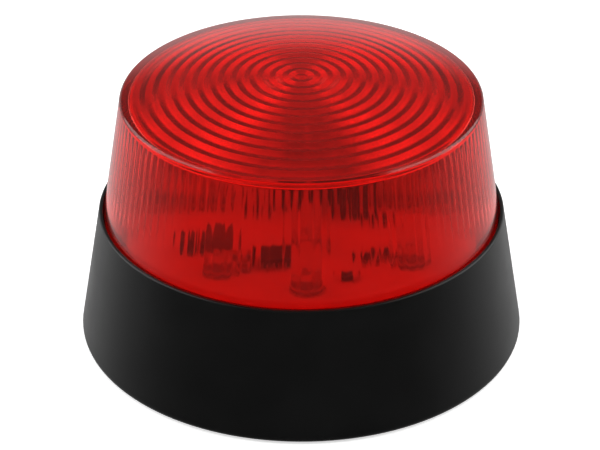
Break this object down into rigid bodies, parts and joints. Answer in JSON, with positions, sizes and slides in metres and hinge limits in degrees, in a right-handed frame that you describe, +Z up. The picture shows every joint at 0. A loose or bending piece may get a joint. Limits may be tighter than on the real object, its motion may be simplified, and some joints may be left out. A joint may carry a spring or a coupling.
{
  "type": "alarm strobe beacon",
  "caption": "Round flashing alarm beacon: red twist-off lens with a ringed dome and fluted side over LEDs on a circuit board, on a black tapered base for surface mounting.",
  "frame": {"origin": "centre of the foot, on the mounting plane", "axes": "+Z up along the axis, out of the mounting surface; the front is at -Y"},
  "size_m": [0.0766, 0.0766, 0.0487],
  "materials": {
    "base_plastic": "fine matte moulded black ABS",
    "lens_plastic": "clear red polycarbonate, glossy outside, rings and flutes inside, matte locking neck",
    "rubber": "soft black rubber",
    "board": "pale solder mask",
    "plated_steel": "tinned and zinc-plated steel",
    "led_epoxy": "clear epoxy",
    "capacitor_sleeve": "shrunk black sleeve",
    "chip_body": "moulded black epoxy",
    "resistor_body": "dark glaze on white ceramic, tinned ends",
    "chip_ceramic": "tan ceramic, tinned ends",
    "terminal_plastic": "green moulded plastic"
  },
  "bodies": {
    "base": {"base_housing": "base_plastic", "wall_gasket": "rubber", "cable_grommet": "rubber", "lens_gasket": "rubber", "circuit_board": "board", "board_screws": "plated_steel", "led_1": "led_epoxy", "led_2": "led_epoxy", "led_3": "led_epoxy", "led_4": "led_epoxy", "led_5": "led_epoxy", "led_6": "led_epoxy", "led_inner": "led_epoxy", "led_leads": "plated_steel", "capacitor_left": "capacitor_sleeve", "capacitor_right": "capacitor_sleeve", "capacitor_rear": "capacitor_sleeve", "capacitor_leads": "plated_steel", "timer_chip": "chip_body", "timer_chip_legs": "plated_steel", "driver_transistor": "chip_body", "switch_transistor": "chip_body", "input_diode": "chip_body", "chip_resistors": "resistor_body", "chip_capacitors": "chip_ceramic", "terminal_block": "terminal_plastic", "terminal_screws": "plated_steel", "terminal_pins": "plated_steel"},
    "lens": {"lens": "lens_plastic"}
  },
  "joints": [
    {"name": "lens_twist", "type": "hinge", "parent": "base", "child": "lens", "pos_m": [0, 0, 0], "axis": [0, 0, 1], "range_deg": [0, 18]}
  ]
}
